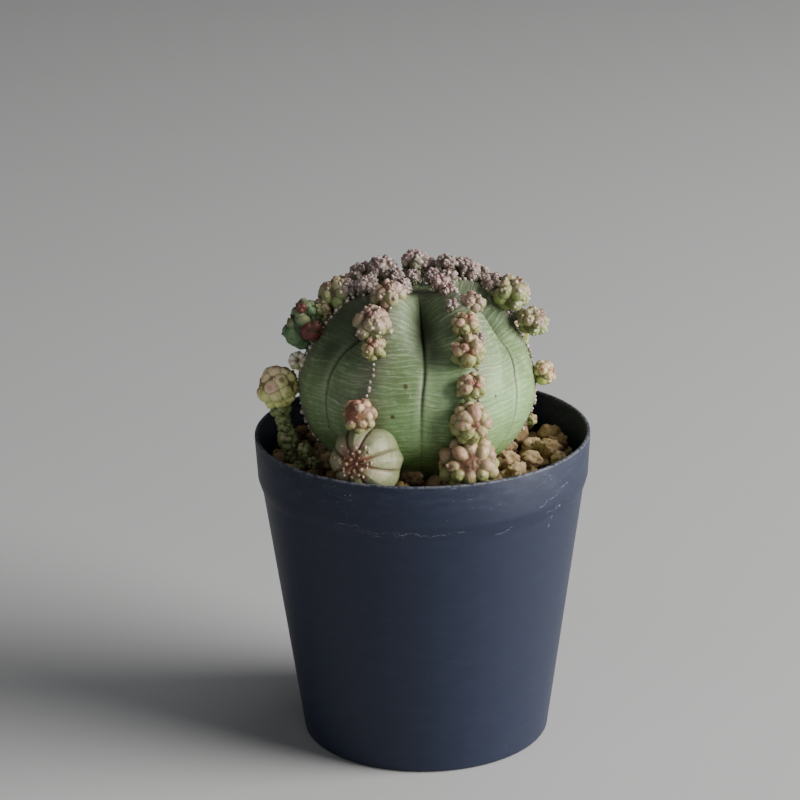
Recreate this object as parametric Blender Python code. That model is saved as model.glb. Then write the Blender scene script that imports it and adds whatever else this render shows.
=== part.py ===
"""A ribbed, ball-shaped euphorbia that carries a row of offsets on every rib, in a plastic nursery pot.

Units are metres and +Z is up. The origin is on the pot's axis, on the surface that the pot stands on.
Azimuth 0 faces -Y, the front, and a positive azimuth turns towards +X. A latitude is 90 degrees at the
stem's crown and 0 at its widest ring.
"""

import math
import random

import bmesh
import bpy
from mathutils import Matrix, Vector, noise

MM = 0.001

# Clearances
FIT_GAP = 0.3 * MM  # between two pieces that touch
CUT_GAP = 0.15 * MM  # from an offset to the plane that it shares with its neighbour
WELD = 0.03 * MM  # corners that a cut leaves closer than this become one

# Pot
POT_HEIGHT = 71.4 * MM
RIM_RADIUS = 37.5 * MM
BAND_HEIGHT = 9.5 * MM
BAND_TAPER = 0.5 * MM
STEP_HEIGHT = 3.5 * MM
STEP_INSET = 1.05 * MM
BASE_RADIUS = 27.9 * MM
WALL = 0.9 * MM
BASE_THICKNESS = 1.0 * MM
FOOT_HEIGHT = 1.6 * MM
FOOT_WIDTH = 2.1 * MM
CORNER = 0.8 * MM
LIP_ROUND = 0.25 * MM
DRAIN_RADIUS = 2.1 * MM
DRAIN_RING = 14.0 * MM
DRAIN_COUNT = 6
POT_SEGMENTS = 48

# Soil
HEADSPACE = 7.1 * MM  # from the rim down to the soil
SOIL_ROUGHNESS = 0.5 * MM
SOIL_RINGS = 7

# Stem
STEM_X = -0.5 * MM
STEM_RADIUS = 26.2 * MM
STEM_HALF_HEIGHT = 22.0 * MM
STEM_SUNK = 3.1 * MM  # how deep the stem's ball sits in the soil
FURROWS = (-54, 0, 57, 109, 157, 205, 254)  # azimuths in degrees, one furrow to each side of a rib
FURROW_DEPTH = 1.5 * MM
CROWN_DIP = 1.2 * MM
ROOT_RADIUS = 6.0 * MM
ROOT_LENGTH = 15.0 * MM
RIB_STEPS = 8
STEM_STEPS = 18

# Offsets, by rib. Each is (latitude, azimuth from the ridge, radius in mm, height of its centre over
# the stem as a share of its radius), from the crown down.
OFFSETS = {
    "front_left": (
        (65, -7, 3.3, 0.65),
        (47, -4, 3.8, 0.65),
        (34, 0, 2.3, 0.65),
        (1, 0, 3.8, 0.65),
        (-20, 2, 8.1, 0.45),
    ),
    "front_right": (
        (78, 34, 2.2, 0.70),
        (70, 18, 2.0, 0.67),
        (61, 5, 1.6, 0.66),
        (56, 22, 2.9, 0.68),
        (47, 3, 2.9, 0.65),
        (32, -3, 3.8, 0.65),
        (15, -5, 3.1, 0.65),
        (-2, -7, 4.4, 0.65),
        (-24, -7, 6.8, 0.62),
    ),
    "left": (
        (79, 26, 2.0, 0.60),
        (52, -12, 3.8, 0.85),
        (43, -9, 2.9, 0.90),
        (28, -6, 4.4, 0.90),
        (13, -4, 2.1, 1.00),
        (-1, -4, 4.7, 1.15),
    ),
    "right": (
        (54, 16, 2.6, 1.35),
        (46, 9, 4.0, 1.10),
        (31, 5, 3.4, 0.95),
        (5, 0, 2.3, 0.65),
        (-20, -6, 1.5, 0.60),
    ),
    "back_left": (
        (67, -6, 3.3, 0.90),
        (58, 5, 2.7, 1.30),
        (44, 0, 3.3, 0.80),
        (27, 2, 3.8, 0.70),
        (7, 0, 2.6, 0.65),
        (-17, -2, 4.8, 0.65),
    ),
    "back": (
        (71, 4, 2.9, 1.25),
        (66, -16, 2.2, 1.30),
        (55, -2, 2.8, 0.85),
        (41, 2, 3.6, 0.75),
        (23, 0, 2.6, 0.65),
        (2, 0, 4.2, 0.65),
        (-22, 2, 6.2, 0.60),
    ),
    "back_right": (
        (69, 9, 2.4, 1.50),
        (62, -3, 2.6, 1.40),
        (54, -9, 2.4, 1.50),
        (41, 2, 3.3, 0.75),
        (26, 0, 3.0, 0.70),
        (8, -2, 3.7, 0.65),
        (-16, 0, 5.2, 0.65),
    ),
}
RIBS = ("front_left", "front_right", "right", "back_right", "back", "back_left", "left")
FINE_OFFSET = 4.0 * MM  # an offset at least this big gets the finer mesh
SEAT_DEPTH = 0.35  # how far past its seat an offset's ball would reach, as a share of its radius
LOBE_DEPTH = 0.13
LOBE_WIDTH = math.radians(24)

# Side branch: it grows out of the soil at the left and carries the lowest offset of the left rib
BRANCH_CARRIES = ("left", 6)
BRANCH_RADIUS = 2.7 * MM
BRANCH_LEAN = 2.6 * MM  # how much nearer to the stem its foot is than its top
BRANCH_KNOBS = 0.16
BRANCH_STEPS = 9
BRANCH_SEGMENTS = 12
BRANCH_TOP = 0.72  # where it meets its offset, as a share of the offset's radius below its centre

# Loose grains on the soil: (azimuth, place between the stem and the pot from 0 to 1, radius in mm)
GRAINS = (
    (96, 0.80, 2.9),
    (118, 0.80, 2.7),
    (76, 0.62, 3.1),
    (104, 0.42, 2.6),
    (50, 0.80, 2.6),
    (150, 0.74, 2.8),
    (-165, 0.78, 2.6),
    (-133, 0.70, 2.8),
    (-106, 0.78, 2.5),
    (-47, 0.78, 2.3),
)
GRAIN_SINK = 0.55  # how high a grain's centre sits, as a share of its radius

# What follows from the sizes above
SOIL_LEVEL = POT_HEIGHT - HEADSPACE
STEM_Z = SOIL_LEVEL - STEM_SUNK + STEM_HALF_HEIGHT
INSIDE_FLOOR = FOOT_HEIGHT + BASE_THICKNESS


def clear_scene():
    for obj in list(bpy.data.objects):
        bpy.data.objects.remove(obj, do_unlink=True)


def make_material(name, colour, roughness):
    material = bpy.data.materials.new(name)
    material.use_nodes = True
    shader = material.node_tree.nodes["Principled BSDF"]
    shader.inputs["Base Color"].default_value = (*colour, 1.0)
    shader.inputs["Roughness"].default_value = roughness
    shader.inputs["Metallic"].default_value = 0.0
    return material


def add_object(name, bm, material, sharp_degrees=40):
    """Turns a bmesh that is in place into a named, smooth-shaded object."""
    bmesh.ops.recalc_face_normals(bm, faces=bm.faces)
    mesh = bpy.data.meshes.new(name)
    bm.to_mesh(mesh)
    bm.free()
    mesh.shade_smooth()
    mesh.set_sharp_from_angle(angle=math.radians(sharp_degrees))
    mesh.materials.append(material)
    obj = bpy.data.objects.new(name, mesh)
    bpy.context.scene.collection.objects.link(obj)
    return obj


def loft(rings, start=None, end=None, through=False):
    """A closed skin over rings of points, with an optional pole point at either end, or a tunnel through."""
    bm = bmesh.new()
    rows = [[bm.verts.new(point) for point in ring] for ring in rings]
    for low, high in zip(rows, rows[1:] + rows[:1] if through else rows[1:]):
        for i in range(len(low)):
            j = (i + 1) % len(low)
            bm.faces.new((low[i], low[j], high[j], high[i]))
    for row, pole in () if through else ((rows[0], start), (rows[-1], end)):
        if pole is None:
            bm.faces.new(row)
            continue
        tip = bm.verts.new(pole)
        for i in range(len(row)):
            bm.faces.new((row[i], row[(i + 1) % len(row)], tip))
    return bm


def circle(radius, height, segments=POT_SEGMENTS):
    turn = 2 * math.pi / segments
    return [
        Vector((radius * math.sin(i * turn), -radius * math.cos(i * turn), height))
        for i in range(segments)
    ]


def along(profile, height):
    """The radius at a height on a profile of (radius, height) points, from the bottom up."""
    for (low_radius, low), (high_radius, high) in zip(profile, profile[1:]):
        if height <= high:
            share = (height - low) / (high - low)
            return low_radius + share * (high_radius - low_radius)
    return profile[-1][0]


# Pot


def pot_outline():
    """The outside of the pot's wall, from the foot up to the rim."""
    band_foot = RIM_RADIUS - BAND_TAPER
    return [
        (BASE_RADIUS - CORNER, 0.0),
        (BASE_RADIUS, CORNER),
        (band_foot - STEP_INSET, POT_HEIGHT - BAND_HEIGHT - STEP_HEIGHT),
        (band_foot, POT_HEIGHT - BAND_HEIGHT),
        (RIM_RADIUS, POT_HEIGHT - LIP_ROUND),
        (RIM_RADIUS - LIP_ROUND, POT_HEIGHT),
    ]


def pot_inside():
    """The inside of the pot's wall, from its floor up to the rim."""
    outline = pot_outline()
    floor_radius = along(outline, INSIDE_FLOOR + CORNER) - WALL
    return [
        (floor_radius - CORNER, INSIDE_FLOOR),
        (floor_radius, INSIDE_FLOOR + CORNER),
        (outline[2][0] - WALL, outline[2][1]),
        (outline[3][0] - WALL, outline[3][1]),
        (RIM_RADIUS - WALL, POT_HEIGHT - LIP_ROUND),
        (RIM_RADIUS - WALL + LIP_ROUND, POT_HEIGHT),
    ]


def wall_clearance():
    """How far from the axis an offset may reach inside the pot: past this it lies flat against the wall."""
    flat_of_wall = math.cos(math.pi / POT_SEGMENTS)
    return along(pot_inside(), SOIL_LEVEL) * flat_of_wall - FIT_GAP


def make_pot(material):
    foot_inside = BASE_RADIUS - CORNER - FOOT_WIDTH
    under = [(DRAIN_RADIUS, FOOT_HEIGHT), (foot_inside - FOOT_HEIGHT / 4, FOOT_HEIGHT), (foot_inside, 0.0)]
    profile = under + pot_outline() + pot_inside()[::-1] + [(DRAIN_RADIUS, INSIDE_FLOOR)]
    bm = loft([circle(radius, height) for radius, height in profile], through=True)
    pot = add_object("pot", bm, material, sharp_degrees=30)
    for i in range(DRAIN_COUNT):
        azimuth = (i + 0.5) * 2 * math.pi / DRAIN_COUNT
        cut_drain_hole(pot, i, DRAIN_RING * math.sin(azimuth), -DRAIN_RING * math.cos(azimuth))


def cut_drain_hole(pot, number, x, y):
    bpy.ops.mesh.primitive_cylinder_add(
        vertices=10, radius=DRAIN_RADIUS, depth=4 * BASE_THICKNESS, location=(x, y, INSIDE_FLOOR)
    )
    cutter = bpy.context.object
    cutter.name = f"drain_cutter_{number}"
    cutter.hide_render = True
    cutter.display_type = "WIRE"
    hole = pot.modifiers.new(cutter.name, "BOOLEAN")
    hole.operation = "DIFFERENCE"
    hole.solver = "EXACT"
    hole.object = cutter


# Stem


def rib_span(rib):
    """The azimuths in degrees of the two furrows beside a rib."""
    first = RIBS.index(rib)
    start = FURROWS[first]
    end = FURROWS[first + 1] if first + 1 < len(FURROWS) else FURROWS[0] + 360
    return start, end


def ridge_azimuth(rib):
    return sum(rib_span(rib)) / 2


def across_rib(azimuth):
    """0 on a ridge and 1 in a furrow, at an azimuth in degrees."""
    turned = (azimuth - FURROWS[0]) % 360 + FURROWS[0]
    for rib in RIBS:
        start, end = rib_span(rib)
        if start <= turned <= end:
            return abs(2 * (turned - start) / (end - start) - 1)
    return 1.0


def stem_surface(azimuth, latitude):
    """The point of the stem's skin at an azimuth and a latitude in degrees."""
    up = math.sin(math.radians(latitude))
    out = math.cos(math.radians(latitude))
    depth = FURROW_DEPTH * min(1.0, 2.2 * out) * across_rib(azimuth) ** 2.4
    radius = max(STEM_RADIUS * out - depth, 0.0)
    dip = CROWN_DIP * max(0.0, (latitude - 65) / 25) ** 2
    angle = math.radians(azimuth)
    return Vector(
        (
            STEM_X + radius * math.sin(angle),
            -radius * math.cos(angle),
            STEM_Z + STEM_HALF_HEIGHT * up - dip,
        )
    )


def stem_normal(azimuth, latitude):
    """The outward direction of the smooth ball that the ribs lie on, square to the skin at a ridge."""
    angle = math.radians(azimuth)
    out = math.cos(math.radians(latitude)) / STEM_RADIUS
    up = math.sin(math.radians(latitude)) / STEM_HALF_HEIGHT
    return Vector((out * math.sin(angle), -out * math.cos(angle), up)).normalized()


def root_profile():
    """The buried end of the stem below its ball, as (radius, height) points from the top down."""
    top = STEM_Z - STEM_HALF_HEIGHT
    return [
        (ROOT_RADIUS, top),
        (ROOT_RADIUS * 0.8, top - ROOT_LENGTH * 0.4),
        (ROOT_RADIUS * 0.5, top - ROOT_LENGTH * 0.8),
    ]


def stem_latitudes():
    """From just above the root to just below the crown."""
    low = -math.degrees(math.acos(ROOT_RADIUS / STEM_RADIUS)) + 5
    return [low + (86 - low) * i / (STEM_STEPS - 1) for i in range(STEM_STEPS)]


def make_stem(material):
    azimuths = []
    for rib in RIBS:
        start, end = rib_span(rib)
        azimuths += [start + (end - start) * i / RIB_STEPS for i in range(RIB_STEPS)]
    rings = []
    for radius, height in root_profile()[::-1]:
        ring = []
        for azimuth in azimuths:
            angle = math.radians(azimuth)
            ring.append(Vector((STEM_X + radius * math.sin(angle), -radius * math.cos(angle), height)))
        rings.append(ring)
    for latitude in stem_latitudes():
        rings.append([stem_surface(azimuth, latitude) for azimuth in azimuths])
    tip = Vector((STEM_X, 0, STEM_Z - STEM_HALF_HEIGHT - ROOT_LENGTH))
    add_object("main_stem", loft(rings, start=tip, end=stem_surface(0, 90)), material)


# Offsets


class Offset:
    """A young plant on a rib: where it sits, which way it grows and how big it is."""

    def __init__(self, rib, number, latitude, shift, radius, height):
        self.rib = rib
        self.number = number
        self.name = f"offset_{rib}_{number}"
        self.radius = radius * MM
        azimuth = ridge_azimuth(rib) + shift
        self.direction = stem_normal(azimuth, latitude)
        self.seat = self.seat_on_stem(azimuth, latitude)
        self.centre = self.seat + self.direction * self.radius * height
        self.stretch = max(1.0, height + SEAT_DEPTH)
        self.reach = self.radius * self.stretch

    def seat_on_stem(self, azimuth, latitude):
        """The point under the offset at the height of the highest skin around it."""
        start, end = rib_span(self.rib)
        near = [stem_surface(start + (end - start) * i / 24, latitude) for i in range(25)]
        skin = stem_surface(azimuth, latitude)
        rise = max((point - skin).dot(self.direction) for point in near)
        return skin + self.direction * max(rise, 0.0)


def lobe_directions(seed, count=9):
    """Directions spread over the outer half of a ball, in the golden-angle order of buds."""
    golden = math.pi * (3 - math.sqrt(5))
    found = [Vector((0, 0, 1))]
    for i in range(1, count):
        height = 1 - 1.15 * i / count
        flat = math.sqrt(max(0.0, 1 - height * height))
        angle = golden * i + seed
        found.append(Vector((flat * math.cos(angle), flat * math.sin(angle), height)))
    return found


def cut_flat(bm, point, normal):
    """Removes what lies on the normal's side of a plane and closes the cut."""
    geometry = bm.verts[:] + bm.edges[:] + bm.faces[:]
    bmesh.ops.bisect_plane(
        bm, geom=geometry, dist=WELD / 30, plane_co=point, plane_no=normal, clear_outer=True
    )
    bmesh.ops.remove_doubles(bm, verts=bm.verts, dist=WELD)
    edges = [edge for edge in bm.edges if edge.is_boundary]
    bmesh.ops.holes_fill(bm, edges=edges)


def flatten_on_wall(bm, centre):
    """What would reach past the pot's wall lies flat against it. The centre says in which direction."""
    outward = Vector((centre.x, centre.y, 0)).normalized()
    cut_flat(bm, outward * wall_clearance(), outward)


def shared_plane(first, second):
    """How far from the first offset's centre the plane lies that parts two offsets' balls."""
    apart = (second.centre - first.centre).length
    return (apart**2 + first.radius**2 - second.radius**2) / (2 * apart)


def make_offset(offset, all_offsets, material):
    fine = offset.radius >= FINE_OFFSET
    bm = bmesh.new()
    bmesh.ops.create_icosphere(bm, subdivisions=3 if fine else 2, radius=1.0)
    lobes = lobe_directions(offset.number)
    for vert in bm.verts:
        way = vert.co.normalized()
        nearest = min(way.angle(lobe) for lobe in lobes)
        size = 1 - LOBE_DEPTH + LOBE_DEPTH * math.exp(-((nearest / LOBE_WIDTH) ** 2))
        vert.co = way * size * offset.radius
        if vert.co.z < 0:
            vert.co.z *= offset.stretch
    turn = offset.direction.to_track_quat("Z", "Y").to_matrix().to_4x4()
    bm.transform(Matrix.Translation(offset.centre) @ turn)
    if (offset.rib, offset.number) == BRANCH_CARRIES:
        level = offset.centre - Vector((0, 0, offset.radius * BRANCH_TOP))
        cut_flat(bm, level + Vector((0, 0, FIT_GAP / 2)), Vector((0, 0, -1)))
    cut_flat(bm, offset.seat + offset.direction * FIT_GAP, -offset.direction)
    if offset.centre.z - offset.radius < POT_HEIGHT:
        flatten_on_wall(bm, offset.centre)
    for other in all_offsets:
        between = other.centre - offset.centre
        if other is offset or between.length > offset.reach + other.reach + FIT_GAP:
            continue
        way = between.normalized()
        cut_flat(bm, offset.centre + way * (shared_plane(offset, other) - CUT_GAP), way)
    add_object(offset.name, bm, material)


def make_branch(carried, material):
    """The knobbly green column under the lowest offset of the left rib."""
    top = carried.centre.z - carried.radius * BRANCH_TOP - FIT_GAP / 2
    foot = SOIL_LEVEL + FIT_GAP
    inward = Vector((-carried.centre.x, -carried.centre.y, 0)).normalized()
    rings = []
    for step in range(BRANCH_STEPS):
        share = step / (BRANCH_STEPS - 1)
        middle = carried.centre + inward * BRANCH_LEAN * (1 - share)
        height = foot + (top - foot) * share
        ring = []
        for i in range(BRANCH_SEGMENTS):
            angle = 2 * math.pi * i / BRANCH_SEGMENTS
            knob = math.sin(3 * angle + 2.4 * step) * BRANCH_KNOBS
            radius = BRANCH_RADIUS * (1 + knob) * (1.1 - 0.25 * share)
            ring.append(
                Vector((middle.x + radius * math.cos(angle), middle.y + radius * math.sin(angle), height))
            )
        rings.append(ring)
    bm = loft(rings)
    flatten_on_wall(bm, carried.centre)
    add_object("side_branch", bm, material)


# Soil


def grain_place(azimuth, share):
    """A point at soil level, at a share of the way from the stem's edge to the pot's wall."""
    near = STEM_RADIUS * math.sqrt(1 - ((SOIL_LEVEL - STEM_Z) / STEM_HALF_HEIGHT) ** 2)
    far = along(pot_inside(), SOIL_LEVEL)
    distance = near + share * (far - near)
    angle = math.radians(azimuth)
    return Vector((distance * math.sin(angle), -distance * math.cos(angle), SOIL_LEVEL))


def soil_height(point, seats):
    """The soil's top at a point: rough, and level at SOIL_LEVEL where something sits on it."""
    rough = noise.noise(point * (0.35 / MM)) * 2 - 0.4
    height = SOIL_LEVEL + SOIL_ROUGHNESS * max(-1.0, min(1.0, rough))
    for place, radius in seats:
        if math.hypot(point.x - place.x, point.y - place.y) < radius + 3 * MM:
            height = min(height, SOIL_LEVEL)
    return height


def make_soil(seats, material):
    inside = pot_inside()
    floor = INSIDE_FLOOR + FIT_GAP
    rings = []
    for height in (floor, floor + CORNER):
        rings.append(circle(along(inside, height) - 2 * FIT_GAP, height))
    for height in (inside[2][1], inside[3][1]):
        if height < SOIL_LEVEL:
            rings.append(circle(along(inside, height) - FIT_GAP, height))
    outer = along(inside, SOIL_LEVEL - SOIL_ROUGHNESS) - FIT_GAP
    stem_side = stem_clearance()
    for step in range(SOIL_RINGS):
        radius = outer + (stem_side[0][0] - outer) * step / SOIL_RINGS
        ring = circle(radius, SOIL_LEVEL)
        for point in ring:
            point.z = soil_height(point, seats)
            if step == 0:
                point.z = min(point.z, SOIL_LEVEL - SOIL_ROUGHNESS)
            point.x += STEM_X * step / SOIL_RINGS
        rings.append(ring)
    for radius, height in stem_side:
        rings.append([point + Vector((STEM_X, 0, 0)) for point in circle(radius, height)])
    tip = Vector((STEM_X, 0, STEM_Z - STEM_HALF_HEIGHT - ROOT_LENGTH - 3 * FIT_GAP))
    add_object("soil", loft(rings, start=(0, 0, floor), end=tip), material)


def stem_clearance():
    """The hollow that the stem fills, as (radius, height) points from the soil's top down."""
    points = []
    edge = math.degrees(math.asin((SOIL_LEVEL - SOIL_ROUGHNESS - STEM_Z) / STEM_HALF_HEIGHT))
    low = stem_latitudes()[0]
    for step in range(4):
        latitude = edge + (low - edge) * step / 3
        radius = STEM_RADIUS * math.cos(math.radians(latitude))
        height = STEM_Z + STEM_HALF_HEIGHT * math.sin(math.radians(latitude))
        points.append((radius + FIT_GAP, height - 2 * FIT_GAP))
    for radius, height in root_profile():
        points.append((radius + 2 * FIT_GAP, height - 2 * FIT_GAP))
    return points


def make_grain(number, place, radius, material):
    """A rough lump of clay soil, level underneath where it rests."""
    draw = random.Random(number)
    bm = bmesh.new()
    bmesh.ops.create_icosphere(bm, subdivisions=2, radius=1.0)
    seed = Vector((draw.uniform(0, 50), draw.uniform(0, 50), draw.uniform(0, 50)))
    squash = Vector((1.0, draw.uniform(0.75, 0.95), draw.uniform(0.7, 0.85)))
    for vert in bm.verts:
        way = vert.co.normalized()
        size = radius * (0.86 + 0.14 * noise.noise(way * 1.7 + seed))
        vert.co = way * squash * size
    centre = place + Vector((0, 0, FIT_GAP + radius * GRAIN_SINK))
    bm.transform(Matrix.Translation(centre) @ Matrix.Rotation(draw.uniform(0, 6.28), 4, "Z"))
    cut_flat(bm, place + Vector((0, 0, FIT_GAP)), Vector((0, 0, -1)))
    add_object(f"soil_grain_{number:02d}", bm, material)


def main():
    clear_scene()
    plastic = make_material("dark_blue_plastic", (0.022, 0.028, 0.048), 0.45)
    clay = make_material("fired_clay_grains", (0.29, 0.19, 0.10), 0.9)
    green = make_material("green_skin", (0.21, 0.30, 0.15), 0.5)
    branch_green = make_material("dark_green_skin", (0.09, 0.14, 0.07), 0.5)
    buds = make_material("cream_buds", (0.42, 0.34, 0.25), 0.55)

    make_pot(plastic)
    make_stem(green)
    offsets = []
    for rib in RIBS:
        for number, values in enumerate(OFFSETS[rib], start=1):
            offsets.append(Offset(rib, number, *values))
    for offset in offsets:
        make_offset(offset, offsets, buds)
        if (offset.rib, offset.number) == BRANCH_CARRIES:
            carried = offset
    make_branch(carried, branch_green)

    seats = [(grain_place(azimuth, share), radius * MM) for azimuth, share, radius in GRAINS]
    for number, (place, radius) in enumerate(seats, start=1):
        make_grain(number, place, radius, clay)
    inward = Vector((-carried.centre.x, -carried.centre.y, 0)).normalized()
    seats.append((carried.centre + inward * BRANCH_LEAN, BRANCH_RADIUS))
    make_soil(seats, clay)


main()
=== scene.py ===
"""The looks of a ball-shaped euphorbia with rows of offsets, in a plastic pot of clay grains."""

import random
from math import acos, asin, atan2, copysign, cos, degrees, exp, hypot, pi, radians, sin, sqrt, tau

import bpy
import numpy as np
from mathutils import Matrix, Vector, noise


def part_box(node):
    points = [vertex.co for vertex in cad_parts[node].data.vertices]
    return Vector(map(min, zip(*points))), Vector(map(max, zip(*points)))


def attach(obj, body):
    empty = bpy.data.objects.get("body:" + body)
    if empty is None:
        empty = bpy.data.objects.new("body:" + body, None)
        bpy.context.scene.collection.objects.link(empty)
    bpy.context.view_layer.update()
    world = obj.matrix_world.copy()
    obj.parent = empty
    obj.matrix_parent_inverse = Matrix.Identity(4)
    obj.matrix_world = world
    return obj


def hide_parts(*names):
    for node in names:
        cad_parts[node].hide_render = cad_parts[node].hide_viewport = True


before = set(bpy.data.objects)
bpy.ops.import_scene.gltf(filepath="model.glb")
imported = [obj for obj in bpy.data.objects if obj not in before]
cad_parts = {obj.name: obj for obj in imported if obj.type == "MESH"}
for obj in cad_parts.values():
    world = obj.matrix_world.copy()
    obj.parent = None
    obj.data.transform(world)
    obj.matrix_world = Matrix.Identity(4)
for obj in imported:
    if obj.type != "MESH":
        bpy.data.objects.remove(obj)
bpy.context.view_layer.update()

MM = 0.001
GOLDEN_TURN = pi * (3 - sqrt(5))

# Stem. Azimuths are in degrees, 0 at the front and growing to the right, as are latitudes.
STEM_HALF_HEIGHT = 22.0 * MM
STEM_RADIUS = 26.5 * MM
STEM_X = -1.1 * MM
STEM_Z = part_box("main_stem")[1].z - STEM_HALF_HEIGHT + 0.3 * MM
STEM_RINGS = 170
STEM_SEGMENTS_PER_RIB = 54
RIBS = ("front_left", "front_right", "right", "back_right", "back", "back_left", "left")
FURROWS = (-50.7, 2.2, 58, 109, 157, 205, 254)  # azimuth at which each rib starts
FURROW_DEPTH = 0.5 * MM
FURROW_DEEPER = 5.3 * MM  # further depth towards the crown
DEEPENING = (14, 64)  # latitudes between which it comes in
FURROW_SHALLOWER = 3.6 * MM  # what is taken off again at the crown
SHALLOWING = (72, 90)
CREASE_DEPTH = 0.5 * MM
CREASE_WIDTH = 0.03  # share of half a rib
LEANS = (0.0, 0.09, 0.58, 0.14, 0.0, 0.0, 0.0)  # turn of each furrow for a degree of latitude
LEAN_START = 15
WANDER = 1.3  # degrees that a furrow strays to either side
SHOULDERS = (3.2, 3.2, 2.8, 3.0, 2.8, 2.4, 1.8)  # mm that each rib rises round the sunken crown
SHOULDER_LATITUDES = (30, 64, 84)
CROWN_DIP = 1.2 * MM
CROWN_EDGE = 65  # latitude at which the dip starts

# Marks on the stem's skin, among them patches of painted shade and painted light: azimuth, latitude
# and radius in mm
MARKS = {
    "stain": (
        (-7, 24, 4.2), (-5, 14, 3.4), (-9, 38, 3.0), (64, 20, 4.0), (150, 30, 5.0), (-140, 10, 4.0),
    ),
    # Painted shade: patches darkened where the ribs and offsets keep the window light off the skin
    "painted_shade": (
        (-68, 48, 6.5), (-60, 34, 4.0), (-86, 56, 5.0), (10, 56, 3.4), (11, 42, 3.2),
        (128, 50, 5.0), (-165, 52, 5.0), (8, 90, 4.4),
    ),
    "weathered": ((-48, 12, 9.0), (-75, 15, 9.0), (-28, 22, 6.0), (175, 10, 9.0)),
    # Painted light: brighter green patches where the light falls on the lower front, the middle and
    # the lit right side
    "pale": ((12, 23, 4.6), (14, 12, 4.0), (-2, -6, 4.5), (52, 8, 9.0), (42, 26, 5.0)),
    "spot": ((-6, 19, 0.55), (-12, 1.5, 0.5), (40, 8, 0.4), (118, 24, 0.5), (-170, 5, 0.5)),
}

# Each offset's kind, by rib from the crown down
OFFSET_KINDS = {
    "front_left": ("beaded", "beaded", "cluster", "rosy", "melon"),
    "front_right": (
        "crumbly", "crumbly", "crumbly", "beaded", "cluster", "cluster", "cluster", "rosette",
        "big_rosette",
    ),
    "left": ("crumbly", "beaded", "beaded", "lumpy", "ring", "fine_cluster"),
    "right": ("crumbly", "beaded", "beaded", "cluster", "cluster"),
    "back_left": ("crumbly", "crumbly", "beaded", "cluster", "cluster", "rosette"),
    "back": ("crumbly", "crumbly", "crumbly", "beaded", "cluster", "rosette", "big_rosette"),
    "back_right": (
        "crumbly", "crumbly", "crumbly", "beaded", "cluster", "small_rosette", "rosette",
    ),
}

# The ways of those that don't grow straight off the stem
FACINGS = {
    "front_left_4": (-0.52, -0.8, 0.3),
    "front_left_5": (-0.36, -0.9, 0.24),
    "front_right_6": (0.1, -0.93, 0.28),
    "left_5": (0.05, -0.9, 0.42),
    "front_right_8": (0.32, -0.93, 0.18),
    "front_right_9": (0.06, -0.93, 0.32),
}

# How far some are moved from their CAD middles, in mm
SEAT_SHIFTS = {
    "front_left_3": (0.6, 0.0, 0.5),
    "front_left_5": (0.0, 0.0, -1.1),
    "left_4": (0.6, 0.0, 0.3),
    "left_5": (0.5, -1.2, 0.5),
}

# How much wider than their CAD solids they are, where not by the usual share
PLUMPNESS = {
    "front_left_1": 1.25,
    "front_left_2": 1.18,
    "front_left_3": 1.28,
    "front_left_5": 1.0,
    "front_right_5": 1.12,
    "front_right_7": 1.12,
    "front_right_9": 1.0,
    "right_4": 1.35,
    "right_5": 0.85,
}
USUAL_PLUMPNESS = 1.07

# Skins by kind, and of those offsets that differ from their kind
USUAL_SKIN = "tan"
KIND_SKINS = {
    "crumbly": "mauve", "beaded": "rose", "rosy": "red", "ring": "cream", "fine_cluster": "painted_light_tan",
}
OWN_SKINS = {
    **dict.fromkeys(("left_2", "left_3", "right_2", "right_3"), "olive"),
    **dict.fromkeys(("front_right_1", "front_right_2"), "pink"),
    **dict.fromkeys(("right_4", "back_left_5"), "yellow"),
    "right_5": "tan",
}

# Colours of each skin: pale side, flushed lobes, green side, beads, seams and growing point
SEAM_BROWN = (0.085, 0.03, 0.016)
HEART_RED = (0.2, 0.04, 0.024)
BUD_COLOURS = {
    "tan": (
        (0.38, 0.29, 0.17), (0.36, 0.215, 0.145), (0.22, 0.25, 0.085), (0.58, 0.48, 0.37),
        SEAM_BROWN, (0.22, 0.065, 0.042),
    ),
    "rose": (
        (0.33, 0.245, 0.17), (0.32, 0.19, 0.155), (0.195, 0.215, 0.09), (0.6, 0.51, 0.44),
        (0.085, 0.038, 0.024), (0.155, 0.055, 0.045),
    ),
    "olive": (
        (0.31, 0.275, 0.155), (0.32, 0.205, 0.155), (0.2, 0.25, 0.085), (0.6, 0.52, 0.42),
        (0.07, 0.038, 0.02), (0.155, 0.055, 0.045),
    ),
    "mauve": (
        (0.275, 0.205, 0.188), (0.305, 0.19, 0.202), (0.135, 0.145, 0.08), (0.6, 0.5, 0.47),
        (0.07, 0.035, 0.03), (0.15, 0.062, 0.058),
    ),
    "pink": (
        (0.36, 0.24, 0.22), (0.38, 0.205, 0.21), (0.2, 0.175, 0.12), (0.66, 0.53, 0.51),
        (0.08, 0.03, 0.03), (0.17, 0.06, 0.062),
    ),
    "cream": (
        (0.8, 0.76, 0.66), (0.74, 0.66, 0.54), (0.38, 0.38, 0.22), (0.82, 0.78, 0.7),
        SEAM_BROWN, HEART_RED,
    ),
    "red": (
        (0.5, 0.37, 0.24), (0.44, 0.2, 0.15), (0.32, 0.31, 0.13), (0.7, 0.56, 0.46),
        (0.12, 0.035, 0.022), (0.3, 0.075, 0.055),
    ),
    "yellow": (
        (0.5, 0.39, 0.22), (0.44, 0.28, 0.17), (0.4, 0.45, 0.14), (0.66, 0.58, 0.42),
        SEAM_BROWN, HEART_RED,
    ),
    # Tan skin made much brighter as painted light, for the offset that the light reaches in front
    # of the stem
    "painted_light_tan": (
        (0.84, 0.68, 0.44), (0.7, 0.5, 0.34), (0.66, 0.72, 0.25), (0.85, 0.76, 0.6),
        (0.15, 0.085, 0.04), HEART_RED,
    ),
}
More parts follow.
